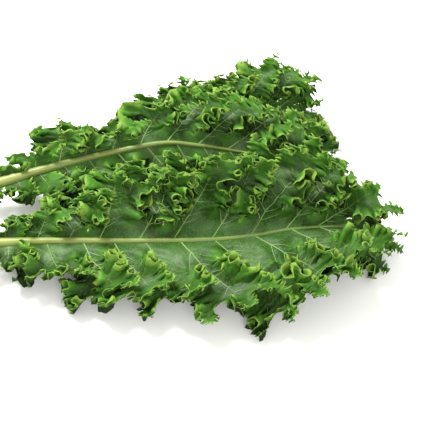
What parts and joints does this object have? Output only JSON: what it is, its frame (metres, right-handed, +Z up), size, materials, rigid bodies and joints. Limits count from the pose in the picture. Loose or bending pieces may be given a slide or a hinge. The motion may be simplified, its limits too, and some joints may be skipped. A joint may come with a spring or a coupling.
{
  "type": "kale bunch",
  "caption": "Loose bunch of curly kale leaves lying down, with dark frilled blades and pale stalks, for food and kitchen scenes.",
  "frame": {"origin": "middle of the bunch's bounding box, on the surface it lies on", "axes": "+X along the leaves from the cut stalk ends to the leaf tips, +Y from the front leaf to the back leaf, +Z up"},
  "size_m": [0.3394, 0.2614, 0.0765],
  "materials": {
    "leaf_blade": "dark green curly leaf with a waxy bloom and yellow-green rim",
    "leaf_stem": "pale yellow-green stalk and midrib, smooth and slightly ribbed"
  },
  "bodies": {
    "root": {"leaf_front_blade": "leaf_blade", "leaf_middle_blade": "leaf_blade", "leaf_back_blade": "leaf_blade", "leaf_front_stem": "leaf_stem", "leaf_middle_stem": "leaf_stem", "leaf_back_stem": "leaf_stem"}
  },
  "joints": []
}
